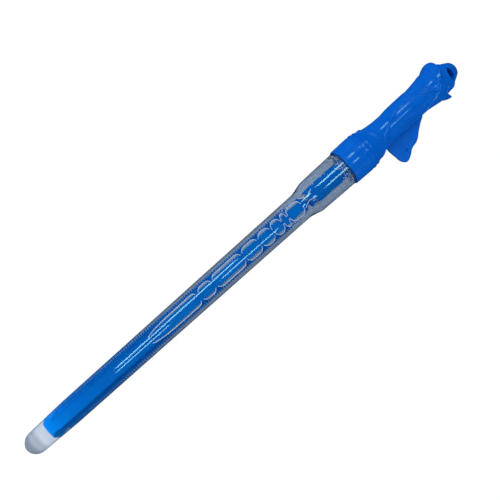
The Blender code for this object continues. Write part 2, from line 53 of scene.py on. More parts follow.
# Sizes of the pieces, most of them as in the solids.
FIT = 0.0003
TUBE_WALL = 0.0010
END_RADIUS = 0.0097
HEEL_RADIUS = 0.0107
HEEL_LENGTH = 0.0450
SHAFT_RADIUS = 0.01165
SHOULDER_LENGTH = 0.0154
CHAMBER_RADIUS = 0.01515
CHAMBER_FOOT_RADIUS = 0.01455
LEDGE_STEP = 0.0007
NECK_RADIUS = 0.01445
NECK_BORE = 0.01285
SEAL_THICKNESS = 0.0012
SEAL_BORE = 0.01185
CAP_BORE = 0.01475
CAP_RIM_RADIUS = 0.01625
CAP_RADIUS = 0.0166
CAP_EDGE = 0.0006
SPIGOT_RADIUS = 0.0126
SPIGOT_WALL = 0.0015
SOCKET_BORE = 0.0051
SOCKET_WALL = 0.0016
STEM_RADIUS = 0.0056
STEM_NOSE = 0.0012
PLUG_RADIUS = 0.0048
TIP_GAP = 0.0265
TIP_WIDTH = 0.0148
TIP_ROUND = 0.0026
TIP_SLANT = 0.0055
BLADE_WIDTH = 0.0160
BLADE_END_WIDTH = 0.0172
BLADE_THICKNESS = 0.0074
RAIL_WIDTH = 0.0045
BAR_WIDTH = 0.0030
SLOT_COUNT = 6
PLAIN_END = 0.0120
RIDGE_PITCH = 0.00235
RIDGE_HEIGHT = 0.0008
TANG_WIDTH = 0.0064
TANG_THICKNESS = 0.0040
TANG_LENGTH = 0.0160
GRIP_WALL = 0.0016
BEAD_LENGTH = 0.0044
BEAD_DROP = 0.0007
GRIP_SHOULDER_RADIUS = 0.0155
WAIST_RADIUS = 0.0108
GRIP_BOW = 0.0016
FLARE_RADIUS = 0.0138
BUD_RADIUS = 0.0122
DOME_RADIUS = 0.0104
DOME_LENGTH = 0.0094
DOME_END_RADIUS = 0.0050
PETAL_RADIUS = 0.01695
PETAL_ROOT = 0.0040
PETAL_BULGE = 0.0100
PETAL_LENGTH = 0.0160
PETAL_CURL = 0.0016
PETAL_WALL = 0.0016
LEAF_SIDE_SLOPE = 0.62
FAR_SIDE_SLOPE = 0.66
BAND_RADIUS = 0.00095
BAND_SUNK = -0.0001           # depth of a band's middle line, here just above the surface
BAND_UNDER = 0.00015          # how much deeper the band that passes under lies
BAND_SWING = math.radians(56.0)
INNER_PETAL_SWING = math.radians(42.0)
INNER_PETAL_LENGTH = 0.0095
LEAF_LENGTH = 0.0393
LEAF_REACH = 0.0350
LEAF_THICKNESS = 0.0040
LEAF_EDGE = 0.0014
LEAF_PEG_REACH = 0.0251
LEAF_TIP = 0.23
LEAF_ROOT = 0.12
LEAF_OUTLINE = (
    (0.00, 0.41), (0.07, 0.72), (0.14, 0.93), (LEAF_TIP, 1.00), (0.36, 0.93), (0.46, 0.82),
    (0.64, 0.74), (0.77, 0.58), (0.90, 0.43), (1.00, 0.33),
)
PEG_RADIUS = 0.0011
POST_RADIUS = 0.0026
EYELET_WIDTH = 0.0104
EYELET_HEIGHT = 0.0054

# Places along the axis.
X_SHOULDER = 0.2920
X_LEDGE = 0.3391
X_LIP = 0.3530
X_SEAL = 0.3533
X_WEB = 0.3548
X_WEB_TOP = 0.3565
X_SPIGOT = 0.3660
X_SOCKET_TOP = 0.3655
X_STEM = 0.3008
X_BLADE_END = 0.2968
X_GRIP = 0.3593
X_BAND = 0.3661
X_CROSSING = 0.3757
X_LEAF = 0.3783
X_LEAF_PEG = 0.3914
X_POSTS = (0.3863, 0.4193)
X_WAIST = 0.4013
X_FLARE = 0.4330
X_BUD = 0.4478
X_DOME = 0.4500
X_EYELET = 0.4487
Y_EYELET = 0.0040
X_END = 0.4600

# Finer forms and roundings that only the looks have.
THREAD_ROOT = 0.01375
THREAD_PITCH = 0.0038
THREAD_TURNS = 1.75
THREAD_FLANK = 0.0010
THREAD_START = 0.0032         # where the thread starts, from the ledge
THREAD_SINK = 0.4             # how far its ridge goes under the root, as a share of its height
SEAM = 0.00003                # hairline between cap and grip, and beside the grip's parting plane
RIM_FLARE = 0.0026            # depth of the lead-in at the cap's open end
X_CAP_GROOVE = 0.3574         # grooves round the cap and the start of the grip
X_GRIP_GROOVE = 0.3613
GROOVE_HALF = 0.0011
GROOVE_DEPTH = 0.0008
CAP_ROUNDING = 0.0004
STEM_ROUNDING = 0.0003
SEAL_ROUNDING = 0.0002
PEG_ROUNDING = 0.0002
RIDGE_STEPS = (0.0, 0.18, 0.34, 0.50, 0.66, 0.82)  # places on a ridge, as shares of the pitch
RIDGE_FULLNESS = 0.5          # power of the ridge's sine curve, where less is fuller
GRIP_VOXEL = 0.00028          # mesh size of the moulded grip, and how often it is smoothed
GRIP_SMOOTHING = 2

# Liquid, bubbles and foam.
SOAK = 0.00004                # how far the liquid reaches into the tube's wall, so that no air shows
POCKET_MIDDLE = 0.0112        # height of the long bubbles' middle line over the axis
POCKETS = (                   # start, end, length of each round end, half width, lowest point
    (0.1270, 0.1854, 0.0340, 0.0050, 0.0114, 0.0079),
    (0.1862, 0.2006, 0.0050, 0.0050, 0.0114, 0.0078),
    (0.2014, 0.2318, 0.0050, 0.0050, 0.0114, 0.0077),
    (0.2326, 0.2490, 0.0050, 0.0050, 0.0114, 0.0077),
    (0.2498, 0.2622, 0.0050, 0.0050, 0.0114, 0.0077),
    (0.2630, 0.2726, 0.0048, 0.0048, 0.0110, 0.0076),
    (0.2734, 0.2784, 0.0025, 0.0025, 0.0100, 0.0077),
    (0.2792, 0.2935, 0.0048, 0.0048, 0.0110, 0.0077),
)
SHOULDER_BUBBLES = (          # middle and radius
    ((0.2990, 0.0030, 0.0090), 0.0030),
    ((0.3035, -0.0052, 0.0092), 0.0026),
)
RIM_LINE = 0.00026            # half the width of a bubble's rim, a line of painted highlight
RIM_PART = 0.0028             # how far off the middle the rims end
RIM_PART_SMALL = 0.0010       # the same past the place where the rims meet
X_RIMS_MEET = 0.2626
HIGHLIGHT_STRANDS = (                   # white strands that paint the highlight loops over the end of the stem, as (x, y)
    ((0.2948, 0.0050), (0.2968, 0.0042), (0.2988, 0.0031), (0.3006, 0.0026),
     (0.3024, 0.0029), (0.3040, 0.0041), (0.3066, 0.0046)),
    ((0.2944, -0.0034), (0.2960, -0.0026), (0.2978, -0.0019), (0.2996, -0.0010),
     (0.3018, -0.0012), (0.3040, -0.0021), (0.3066, -0.0022)),
)
FOAM_SEED = 7
FOAM_SIZE = (0.00018, 0.00048)
FOAM_COUNT = 1000             # bubbles on the wall, and where they lie along it
FOAM_REACH = (0.2760, 0.3350)
FOAM_TURN = (0.45, 1.9, 0.70)  # least, most and commonest angle from the top, to either side
FOAM_DEPTH = (1.0, 2.2)       # in from the wall, in sizes of a bubble
HEAD_COUNT = 600              # bubbles all round by the cap
HEAD_REACH = (0.3300, 0.3386)
HEAD_DEPTH = (1.0, 8.0)
FOAM_CLUSTER = 1500           # vertices that are gathered at a time

# Steps of turned, bent and swept forms, gaps that are closed, and angles past which an edge is sharp.
ROUND = 96
ROUND_SMALL = 64
ROUND_INSIDE = 48
ROUND_THREAD = 48
ROD_SIDES = 32
END_STEPS = 20
SHAFT_STEPS = 12
SHOULDER_STEPS = 18
RIM_STEPS = 96
RIM_HALVINGS = 30
CORNER_STEPS = 16
SLOT_STEPS = 20
BEAD_STEPS = 30
GRIP_STEPS = 90
DOME_STEPS = 18
PETAL_STEPS = 24
CURL_STEPS = 8
BAND_STEPS = 120
PETAL_EDGE_STEPS = 40
HOLLOW_STEPS = 24
BEVEL_STEPS = 4
CURVE_STEPS = 10
MERGE_GAP = 0.000002
CUT_GAP = 0.0000005
CREASE = 35.0
RIDGE_CREASE = 50.0
NO_CREASE = 180.0

# Finishes.
WHITE = (1.0, 1.0, 1.0)
MOTTLE_DETAIL = 4.0
GRAIN_DETAIL = 3.0
GRAIN_SHARE = 0.35            # of the bump's height
MOTTLE_SPAN = (0.3, 0.7)      # part of the mottle that a finish's roughness is spread over
FILM_SPAN = (0.35, 0.65)      # the same for the film of a bubble
BUMP_DEPTH = 0.0002
BLUE_IOR = 1.47
# Painted shade in the clear pieces: grey in the dome, none at the tip, darker along the wand.
PAINTED_SHADE_REACH = 0.0550           # from the domed end to where the clear pieces' painted shade along the wand is full
DOME_PAINTED_SHADE = (0.70, 0.72, 0.755)
DOME_PAINTED_SHADE_END = (0.15, 0.21)  # where the dome's painted shade ends and none is left, as shares of that length
CLEAR_ROUGHNESS = (0.0, 0.01)
COAT_IOR = 2.2                # more than plastic has, so that highlights come out clean
COAT_ROUGHNESS = 0.06

# Floor, sky, lamps and camera.
FLOOR_SIZE = 4.0
FLOOR_DROP = 0.0002
FLOOR_ROUGHNESS = 0.9
FLOOR_GLOW = 1.14
GLOW_SEEN = 0.85              # share of the glow that the camera sees, and sees through clear pieces
GLOW_THROUGH = 0.12
FLOOR_TONE = (0.35, 0.375, 0.41)
FLOOR_MIRRORED_TONE = (0.01, 0.045, 0.085)
SKY_LEVEL = 0.28
SKY_MIRRORED_LEVEL = 0.006
LAMP_HEIGHT = 0.60
LAMP_GLARE = 10.5             # watts to a square metre of mirrored lamp
MIRRORED_TONE = (0.50, 1.0, 0.95)
LAMP_ROWS = (                 # place across, slant, width, and each lamp's place along and length
    (0.26, 0.12, 0.11, ((-0.215, 0.350), (0.2325, 0.125), (0.485, 0.130))),
    (-0.11, -0.10, 0.08, ((-0.309, 0.144), (-0.010, 0.152), (0.2275, 0.100), (0.457, 0.090))),
)
FILL_SIZE = (0.90, 0.30)
FILLS = (                     # name, place, size and watts
    ("key", (0.062, 0.30, LAMP_HEIGHT), FILL_SIZE, 2.5),
    ("fill_far", (0.062, 0.64, 0.28), FILL_SIZE, 2.7),
    ("fill_near", (0.062, -0.64, 0.28), FILL_SIZE, 3.1),
    ("tip_fill", (-0.270, 0.05, 0.06), (0.05, 0.05), 0.24),
)
SENSOR_WIDTH = 36.0
LENS = 32.9
CAMERA_PLACE = (0.2396, 0.0010, 0.3680)
CAMERA_TURN = math.radians(-41.77)

LIE = Matrix.Translation(REST_PLACE) @ Matrix.Rotation(-REST_TILT, 4, "Y")
LIE_GRIP = LIE @ Matrix.Rotation(LEAF_LEAN, 4, "X")


def ease(u):
    """A smooth rise from 0 to 1."""
    return (1.0 - math.cos(math.pi * u)) / 2.0


def clamp(u):
    """The value, kept between 0 and 1."""
    return min(max(u, 0.0), 1.0)


def spread(start, end, count):
    """Even steps from start to end, both included."""
    return [start + (end - start) * i / count for i in range(count + 1)]


# Modelling helpers

def linked(name, data):
    """A new object of the scene that shows the data."""
    made = bpy.data.objects.new(name, data)
    bpy.context.scene.collection.objects.link(made)
    return made


def as_object(name, bm):
    """A new object of the scene from a bmesh, which is freed."""
    mesh = bpy.data.meshes.new(name)
    bm.to_mesh(mesh)
    bm.free()
    return linked(name, mesh)


def as_bmesh(made):
    """A bmesh of the object with its modifiers applied; the object is dropped."""
    graph = bpy.context.evaluated_depsgraph_get()
    mesh = bpy.data.meshes.new_from_object(made.evaluated_get(graph))
    bpy.data.objects.remove(made)
    bm = bmesh.new()
    bm.from_mesh(mesh)
    bpy.data.meshes.remove(mesh)
    return bm


def close_up(bm):
    """Merge doubles, drop faces without area and turn the rest outwards."""
    bmesh.ops.remove_doubles(bm, verts=bm.verts, dist=MERGE_GAP)
    bmesh.ops.dissolve_degenerate(bm, edges=bm.edges, dist=MERGE_GAP)
    bmesh.ops.recalc_face_normals(bm, faces=bm.faces)


def lathe(chain, steps=ROUND, loop=False):
    """A chain of (x, radius) points spun about the x axis, closed at its poles or as a ring."""
    bm = bmesh.new()
    verts = [bm.verts.new((x, 0.0, radius)) for x, radius in chain]
    edges = [bm.edges.new(pair) for pair in zip(verts, verts[1:])]
    if loop:
        edges.append(bm.edges.new((verts[-1], verts[0])))
    bmesh.ops.spin(bm, geom=verts + edges, cent=(0, 0, 0), axis=(1, 0, 0), angle=math.tau,
                   steps=steps, use_merge=True)
    close_up(bm)
    return bm


def soften(bm, width, past=X_END):
    """Round every edge that is sharper than a crease and does not lie past a place along the axis."""
    sharp = [e for e in bm.edges if len(e.link_faces) == 2 and e.calc_face_angle() > math.radians(CREASE)]
    sharp = [e for e in sharp if e.verts[0].co.x < past]
    bmesh.ops.bevel(bm, geom=sharp, offset=width, offset_type="OFFSET", segments=2, profile=0.5,
                    affect="EDGES", material=-1, clamp_overlap=True)


def rod(bm, place, radius, low, high):
    """A round rod along z over (x, y), added to a bmesh."""
    middle = Matrix.Translation((place[0], place[1], (low + high) / 2))
    bmesh.ops.create_cone(bm, cap_ends=True, segments=ROD_SIDES, radius1=radius, radius2=radius,
                          depth=high - low, matrix=middle)


def carved(target, tools, operation="DIFFERENCE"):
    """A bmesh of the target with each tool cut from it, joined to it or crossed with it, all bmeshes."""
    made = as_object("carved", target)
    helpers = [as_object("tool", tool) for tool in tools]
    for helper in helpers:
        step = made.modifiers.new("carve", "BOOLEAN")
        step.operation = operation
        step.solver = "EXACT"
        step.object = helper
    bm = as_bmesh(made)
    for helper in helpers:
        bpy.data.objects.remove(helper)
    return bm


def merged(parts):
    """One bmesh that holds all the given ones, which are freed."""
    bm = bmesh.new()
    for part in parts:
        mesh = bpy.data.meshes.new("part")
        part.to_mesh(mesh)
        part.free()
        bm.from_mesh(mesh)
        bpy.data.meshes.remove(mesh)
    return bm


def arc(centre, radius, start, end, steps):
    """Points of an arc in a plane, between two angles in degrees."""
    turns = [math.radians(a) for a in spread(start, end, steps)]
    return [(centre[0] + radius * math.cos(t), centre[1] + radius * math.sin(t)) for t in turns]


def flat_plate(outlines, thickness, smooth=False, rounding=0.0):
    """Closed outlines in the xy plane, holes inside the first, as a plate on z = 0 in a bmesh."""
    curve = bpy.data.curves.new("plate", "CURVE")
    curve.dimensions = "2D"
    curve.fill_mode = "BOTH"
    curve.extrude = thickness / 2 - rounding
    curve.bevel_depth = rounding
    curve.bevel_resolution = BEVEL_STEPS
    curve.offset = -rounding
    curve.resolution_u = CURVE_STEPS
    for outline in outlines:
        spline = curve.splines.new("BEZIER" if smooth else "POLY")
        knots = spline.bezier_points if smooth else spline.points
        knots.add(len(outline) - 1)
        for knot, (x, y) in zip(knots, outline):
            knot.co = (x, y, 0.0) if smooth else (x, y, 0.0, 1.0)
            if smooth:
                knot.handle_left_type = "AUTO"
                knot.handle_right_type = "AUTO"
        spline.use_cyclic_u = True
    bm = as_bmesh(linked("plate", curve))
    close_up(bm)
    return bm


def raised_line(points, radius):
    """A round bead along the points, in a bmesh."""
    curve = bpy.data.curves.new("raised_line", "CURVE")
    curve.dimensions = "3D"
    curve.bevel_depth = radius
    curve.bevel_resolution = BEVEL_STEPS
    curve.use_fill_caps = True
    spline = curve.splines.new("POLY")
    spline.points.add(len(points) - 1)
    for knot, place in zip(spline.points, points):
        knot.co = (*place, 1.0)
    bm = as_bmesh(linked("raised_line", curve))
    close_up(bm)
    return bm


def piece(name, bm, body, material, replaced=(), place=LIE, crease=CREASE):
    """A finished piece: laid in place, shaded, given its finish and set on its body."""
    bm.transform(place)
    made = as_object(name, bm)
    made.data.materials.append(material)
    made.data.shade_smooth()
    made.data.set_sharp_from_angle(angle=math.radians(crease))
    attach(made, body)
    if replaced:
        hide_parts(*replaced)


# Finishes

def new_finish(name):
    """A new material with its node tree and its main shader."""
    material = bpy.data.materials.new(name)
    material.use_nodes = True
    return material, material.node_tree, material.node_tree.nodes["Principled BSDF"]


def moulded_skin_group():
    """Fine unevenness of a moulded surface: a slow mottle, a finer grain and a height for the bump."""
    group = bpy.data.node_groups.new("moulded_skin", "ShaderNodeTree")
    sockets = group.interface
    sockets.new_socket("Mottle Scale", in_out="INPUT", socket_type="NodeSocketFloat")
    sockets.new_socket("Grain Scale", in_out="INPUT", socket_type="NodeSocketFloat")
    sockets.new_socket("Mottle", in_out="OUTPUT", socket_type="NodeSocketFloat")
    sockets.new_socket("Height", in_out="OUTPUT", socket_type="NodeSocketFloat")
    nodes = group.nodes
    links = group.links
    entry = nodes.new("NodeGroupInput")
    leave = nodes.new("NodeGroupOutput")
    place = nodes.new("ShaderNodeTexCoord")
    mottle = nodes.new("ShaderNodeTexNoise")
    mottle.inputs["Detail"].default_value = MOTTLE_DETAIL
    grain = nodes.new("ShaderNodeTexNoise")
    grain.inputs["Detail"].default_value = GRAIN_DETAIL
    both = nodes.new("ShaderNodeMath")
    both.operation = "MULTIPLY_ADD"
    both.inputs[1].default_value = GRAIN_SHARE
    links.new(place.outputs["Object"], mottle.inputs["Vector"])
    links.new(place.outputs["Object"], grain.inputs["Vector"])
    links.new(entry.outputs["Mottle Scale"], mottle.inputs["Scale"])
    links.new(entry.outputs["Grain Scale"], grain.inputs["Scale"])
    links.new(grain.outputs["Fac"], both.inputs[0])
    links.new(mottle.outputs["Fac"], both.inputs[2])
    links.new(mottle.outputs["Fac"], leave.inputs["Mottle"])
    links.new(both.outputs["Value"], leave.inputs["Height"])
    return group


SKIN = moulded_skin_group()


def add_skin(tree, shader, mottle_scale, grain_scale, rough, bump):
    """Mottled roughness between two values, and a shallow bump."""
    skin = tree.nodes.new("ShaderNodeGroup")
    skin.node_tree = SKIN
    skin.inputs["Mottle Scale"].default_value = mottle_scale
    skin.inputs["Grain Scale"].default_value = grain_scale
    spanned = tree.nodes.new("ShaderNodeMapRange")
    spanned.inputs["From Min"].default_value = MOTTLE_SPAN[0]
    spanned.inputs["From Max"].default_value = MOTTLE_SPAN[1]
    spanned.inputs["To Min"].default_value = rough[0]
    spanned.inputs["To Max"].default_value = rough[1]
    tree.links.new(skin.outputs["Mottle"], spanned.inputs["Value"])
    tree.links.new(spanned.outputs["Result"], shader.inputs["Roughness"])
    dent = tree.nodes.new("ShaderNodeBump")
    dent.inputs["Strength"].default_value = bump
    dent.inputs["Distance"].default_value = BUMP_DEPTH
    tree.links.new(skin.outputs["Height"], dent.inputs["Height"])
    tree.links.new(dent.outputs["Normal"], shader.inputs["Normal"])
    return skin


def add_mottled_colour(tree, shader, skin, deep, light):
    """Base colour that goes from one tone to another with the mottle of the skin."""
    tone = tree.nodes.new("ShaderNodeMix")
    tone.data_type = "RGBA"
    tone.inputs["A"].default_value = (*deep, 1.0)
    tone.inputs["B"].default_value = (*light, 1.0)
    tree.links.new(skin.outputs["Mottle"], tone.inputs["Factor"])
    tree.links.new(tone.outputs["Result"], shader.inputs["Base Color"])


def blue_plastic_finish(name, deep, light, rough, gloss):
    """Dyed plastic, a little lighter where the dye is thinner."""
    material, tree, shader = new_finish(name)
    skin = add_skin(tree, shader, mottle_scale=90.0, grain_scale=1500.0, rough=rough, bump=0.012)
    add_mottled_colour(tree, shader, skin, deep, light)
    shader.inputs["IOR"].default_value = BLUE_IOR
    shader.inputs["Specular IOR Level"].default_value = gloss
    return material


def clear_finish(name, painted_wand_shade, ior, lamp_tint, sheen, coated):
    """Clear plastic or liquid that bends what is seen through it and lets the lamps shine through.

    It has painted shade: greyer in the dome, clear at the tip, and darker along the blue wand.
    """
    material, tree, shader = new_finish(name)
    place = tree.nodes.new("ShaderNodeTexCoord")
    split = tree.nodes.new("ShaderNodeSeparateXYZ")
    along = tree.nodes.new("ShaderNodeMapRange")
    along.inputs["From Min"].default_value = REST_PLACE.x
    along.inputs["From Max"].default_value = REST_PLACE.x + PAINTED_SHADE_REACH
    # Painted shade: the base colour ramps from grey in the dome to clear at the tip, then darkens along the
    # wand.
    shade = tree.nodes.new("ShaderNodeValToRGB")
    stops = shade.color_ramp.elements
    stops[0].position = DOME_PAINTED_SHADE_END[0]
    stops[0].color = (*DOME_PAINTED_SHADE, 1.0)
    stops[1].position = 1.0
    stops[1].color = (*painted_wand_shade, 1.0)
    for position in (DOME_PAINTED_SHADE_END[1], TIP_GAP / PAINTED_SHADE_REACH):
        stops.new(position).color = (*WHITE, 1.0)
    tree.links.new(place.outputs["Object"], split.inputs["Vector"])
    tree.links.new(split.outputs["X"], along.inputs["Value"])
    tree.links.new(along.outputs["Result"], shade.inputs["Fac"])
    tree.links.new(shade.outputs["Color"], shader.inputs["Base Color"])
    shader.inputs["Transmission Weight"].default_value = 1.0
    shader.inputs["IOR"].default_value = ior
    shader.inputs["Specular Tint"].default_value = (sheen, sheen, sheen, 1.0)
    add_skin(tree, shader, mottle_scale=60.0, grain_scale=900.0, rough=CLEAR_ROUGHNESS, bump=0.0)
    path = tree.nodes.new("ShaderNodeLightPath")
    if coated:
        shader.inputs["Coat IOR"].default_value = COAT_IOR
        shader.inputs["Coat Roughness"].default_value = COAT_ROUGHNESS
        tree.links.new(path.outputs["Is Camera Ray"], shader.inputs["Coat Weight"])
    passed = tree.nodes.new("ShaderNodeBsdfTransparent")
    passed.inputs["Color"].default_value = (*lamp_tint, 1.0)
    lighting = tree.nodes.new("ShaderNodeMath")
    lighting.operation = "MAXIMUM"
    mix = tree.nodes.new("ShaderNodeMixShader")
    tree.links.new(path.outputs["Is Shadow Ray"], lighting.inputs[0])
    tree.links.new(path.outputs["Is Diffuse Ray"], lighting.inputs[1])
    tree.links.new(lighting.outputs["Value"], mix.inputs["Fac"])
    tree.links.new(shader.outputs["BSDF"], mix.inputs[1])
    tree.links.new(passed.outputs["BSDF"], mix.inputs[2])
    tree.links.new(mix.outputs["Shader"], tree.nodes["Material Output"].inputs["Surface"])
    return material


def foam_and_highlight_finish(name, tone, thin, thick):
    """Milky film of a small bubble, or of a painted highlight along a bubble's rim, thinner in some places.
    """
    material, tree, shader = new_finish(name)
    skin = add_skin(tree, shader, mottle_scale=500.0, grain_scale=3000.0, rough=(0.15, 0.35), bump=0.0)
    film = tree.nodes.new("ShaderNodeMapRange")
    film.inputs["From Min"].default_value = FILM_SPAN[0]
    film.inputs["From Max"].default_value = FILM_SPAN[1]
    film.inputs["To Min"].default_value = thin
    film.inputs["To Max"].default_value = thick
    tree.links.new(skin.outputs["Mottle"], film.inputs["Value"])
    tree.links.new(film.outputs["Result"], shader.inputs["Alpha"])
    shader.inputs["Base Color"].default_value = (*tone, 1.0)
    return material


def foam_liner_finish(name, deep, light):
    """Pale foam sheet with a coarse grain."""
    material, tree, shader = new_finish(name)
    skin = add_skin(tree, shader, mottle_scale=400.0, grain_scale=4000.0, rough=(0.5, 0.75), bump=0.4)
    add_mottled_colour(tree, shader, skin, deep, light)
    return material


GRIP_BLUE = blue_plastic_finish(
    "grip_blue", deep=(0.0003, 0.102, 0.55), light=(0.0005, 0.128, 0.645), rough=(0.08, 0.12), gloss=1.0)
WAND_BLUE = blue_plastic_finish(
    "wand_blue", deep=(0.0003, 0.145, 0.50), light=(0.0005, 0.165, 0.57), rough=(0.12, 0.20), gloss=0.0)
# The first colour of each clear piece is the painted shade it takes on along the wand.
TUBE_CLEAR = clear_finish(
    "tube_clear", painted_wand_shade=(0.84, 0.91, 0.99), ior=1.52, lamp_tint=(0.94, 0.96, 0.985), sheen=0.1, coated=True)
SOLUTION_CLEAR = clear_finish(
    "solution_clear", painted_wand_shade=(0.80, 0.87, 0.955), ior=1.36, lamp_tint=(0.97, 0.985, 1.0), sheen=0.15,
    coated=False)
FOAM_WHITE = foam_and_highlight_finish("foam_bubbles", tone=(0.80, 0.86, 0.94), thin=0.25, thick=0.75)
# Painted highlight: the bubbles' rims and the strands over the stem are pale, half-clear lines.
RIM_PAINTED_HIGHLIGHT = foam_and_highlight_finish("painted_highlight_rim", tone=(0.78, 0.92, 1.0), thin=0.45, thick=0.95)
LINER = foam_liner_finish("foam_liner", deep=(0.80, 0.80, 0.77), light=(0.90, 0.90, 0.87))


# Tube and what is in it

def wall_chain(inset):
    """The tube's wall from its domed end to its ledge, moved in by the inset."""
    radius = END_RADIUS - inset
    turns = spread(0.0, math.pi / 2, END_STEPS)
    chain = [(END_RADIUS - radius * math.cos(a), radius * math.sin(a)) for a in turns]
    chain[0] = (chain[0][0], 0.0)
    places = spread(HEEL_LENGTH, X_SHOULDER, SHAFT_STEPS)[:-1]
    for x, u in zip(places, spread(0.0, 1.0, SHAFT_STEPS)):
        chain.append((x, HEEL_RADIUS - inset + (SHAFT_RADIUS - HEEL_RADIUS) * u))
    for u in spread(0.0, 1.0, SHOULDER_STEPS):
        rise = ease(u) * (CHAMBER_FOOT_RADIUS - SHAFT_RADIUS)
        chain.append((X_SHOULDER + SHOULDER_LENGTH * u, SHAFT_RADIUS + rise - inset))
    chain.append((X_LEDGE - LEDGE_STEP, CHAMBER_RADIUS - inset))
    return chain


def bore_radius(x):
    """The tube's inside radius at a place along the axis."""
    chain = wall_chain(TUBE_WALL)
    for (xa, ra), (xb, rb) in zip(chain, chain[1:]):
        if xa <= x <= xb:
            return ra + (rb - ra) * (x - xa) / (xb - xa)
    return NECK_BORE


def thread_coil(start, root, crest, turns):
    """A screw thread round the x axis, as one coiled ridge."""
    steps = int(ROUND_THREAD * turns)
    bm = bmesh.new()
    half = THREAD_FLANK / 2
    inner = root + (root - crest) * THREAD_SINK
    ridge = [
        (start - 2 * half, inner), (start - half, crest), (start + half, crest), (start + 2 * half, inner)]
    face = bm.faces.new([bm.verts.new((x, 0.0, r)) for x, r in ridge])
    bmesh.ops.spin(bm, geom=list(bm.verts) + list(bm.edges) + [face], cent=(0, 0, 0), axis=(1, 0, 0),
                   dvec=(THREAD_PITCH * turns / steps, 0.0, 0.0), angle=math.tau * turns, steps=steps)
    close_up(bm)
    return bm


def make_tube():
    outside = wall_chain(0.0) + [
        (X_LEDGE, NECK_RADIUS), (X_LEDGE, THREAD_ROOT),
        (X_LIP - FIT, THREAD_ROOT), (X_LIP, THREAD_ROOT - FIT),
    ]
    inside = wall_chain(TUBE_WALL) + [(X_LEDGE + LEDGE_STEP, NECK_BORE), (X_LIP, NECK_BORE)]
    shell = lathe(outside + inside[::-1])
    thread = thread_coil(X_LEDGE + THREAD_START, THREAD_ROOT, NECK_RADIUS, THREAD_TURNS)
    bm = carved(shell, [thread], "UNION")
    piece("clear_tube", bm, "tube_body", TUBE_CLEAR, ["tube"])


def air_pocket(start, end, nose, tail, half_width, floor):
    """A long bubble: a ball pulled out between its two round ends, each with a length of its own."""
    bm = bmesh.new()
    bmesh.ops.create_uvsphere(bm, u_segments=64, v_segments=32, radius=1.0)
    bmesh.ops.rotate(bm, verts=bm.verts, cent=(0, 0, 0), matrix=Matrix.Rotation(math.pi / 2, 3, "Y"))
    for v in bm.verts:
        if v.co.x < 0.0:
            v.co.x = start + nose * (1.0 + v.co.x)
        else:
            v.co.x = end - tail * (1.0 - v.co.x)
        v.co.y *= half_width
        v.co.z = POCKET_MIDDLE + v.co.z * (POCKET_MIDDLE - floor)
    bmesh.ops.recalc_face_normals(bm, faces=bm.faces)
    return bm


def make_solution():
    """The liquid, wetting the tube's wall, with the long bubbles that lie along the top of the bore."""
    inset = TUBE_WALL - SOAK
    end = X_LIP - FIT
    neck = NECK_BORE + SOAK
    fill = lathe(wall_chain(inset) + [(X_LEDGE + LEDGE_STEP, neck), (end, neck), (end, 0.0)])
    pockets = [air_pocket(*pocket) for pocket in POCKETS]
    for place, size in SHOULDER_BUBBLES:
        bubble = bmesh.new()
        bmesh.ops.create_icosphere(bubble, subdivisions=4, radius=size, matrix=Matrix.Translation(place))
        pockets.append(bubble)
    bm = carved(fill, pockets)
    piece("solution_fill", bm, "tube_body", SOLUTION_CLEAR, ["bubble_solution"])


def pocket_rim(start, end, nose, tail, half_width, floor):
    """Points along one side of the edge where a long bubble meets the wall, without its two ends."""
    side = []
    for u in spread(0.0, 1.0, RIM_STEPS):
        x = start + (end - start) * ease(u)
        off = max((start + nose - x) / nose, (x - end + tail) / tail, 0.0)
        swell = math.sqrt(max(1.0 - off * off, 0.0))
        reach = bore_radius(x) - RIM_LINE
        low = 0.0
        high = math.pi / 2
        for _ in range(RIM_HALVINGS):
            turn = (low + high) / 2
            y = half_width * swell * math.sin(turn)
            z = POCKET_MIDDLE - (POCKET_MIDDLE - floor) * swell * math.cos(turn)
            if y * y + z * z < reach * reach:
                low = turn
            else:
                high = turn
        if y > (RIM_PART if x < X_RIMS_MEET else RIM_PART_SMALL):
            side.append((x, y, z))
    return side


def make_rims():
    """Painted highlights: bright rims along the long bubbles' edges, and white strands over the end of the
    stem.
    """
    lines = []
    for pocket in POCKETS:
        side = pocket_rim(*pocket)
        lines.append(raised_line(side, RIM_LINE))
        lines.append(raised_line([(x, -y, z) for x, y, z in side], RIM_LINE))
    for strand in HIGHLIGHT_STRANDS:
        points = []
        for x, y in strand:
            reach = bore_radius(x) - 2 * RIM_LINE
            points.append((x, y, math.sqrt(reach * reach - y * y)))
        lines.append(raised_line(points, RIM_LINE))
    # The rims and strands carry painted highlight in a pale, half-clear film.
    piece("painted_highlight_rims", merged(lines), "tube_body", RIM_PAINTED_HIGHLIGHT, crease=NO_CREASE)


def make_foam():
    """Small white bubbles: on the wall at both sides of the wide end, and all round it by the cap."""
    dice = random.Random(FOAM_SEED)
    clusters = []
    bm = bmesh.new()
    for i in range(FOAM_COUNT + HEAD_COUNT):
        if i < FOAM_COUNT:
            x = dice.uniform(*FOAM_REACH)
            turn = dice.choice((-1.0, 1.0)) * dice.triangular(*FOAM_TURN)
            depth = dice.uniform(*FOAM_DEPTH)
        else:
            x = dice.triangular(*HEAD_REACH, HEAD_REACH[1])
            turn = dice.uniform(-math.pi, math.pi)
            depth = dice.uniform(*HEAD_DEPTH)
        size = dice.uniform(*FOAM_SIZE)
        radius = bore_radius(x) - depth * size
        place = Matrix.Translation((x, radius * math.sin(turn), radius * math.cos(turn)))
        bmesh.ops.create_uvsphere(bm, u_segments=7, v_segments=5, radius=size, matrix=place)
        if len(bm.verts) > FOAM_CLUSTER:
            clusters.append(bm)
            bm = bmesh.new()
    bm = merged(clusters + [bm])
    piece("wall_foam", bm, "tube_body", FOAM_WHITE, crease=NO_CREASE)


# Cap, seal and wand

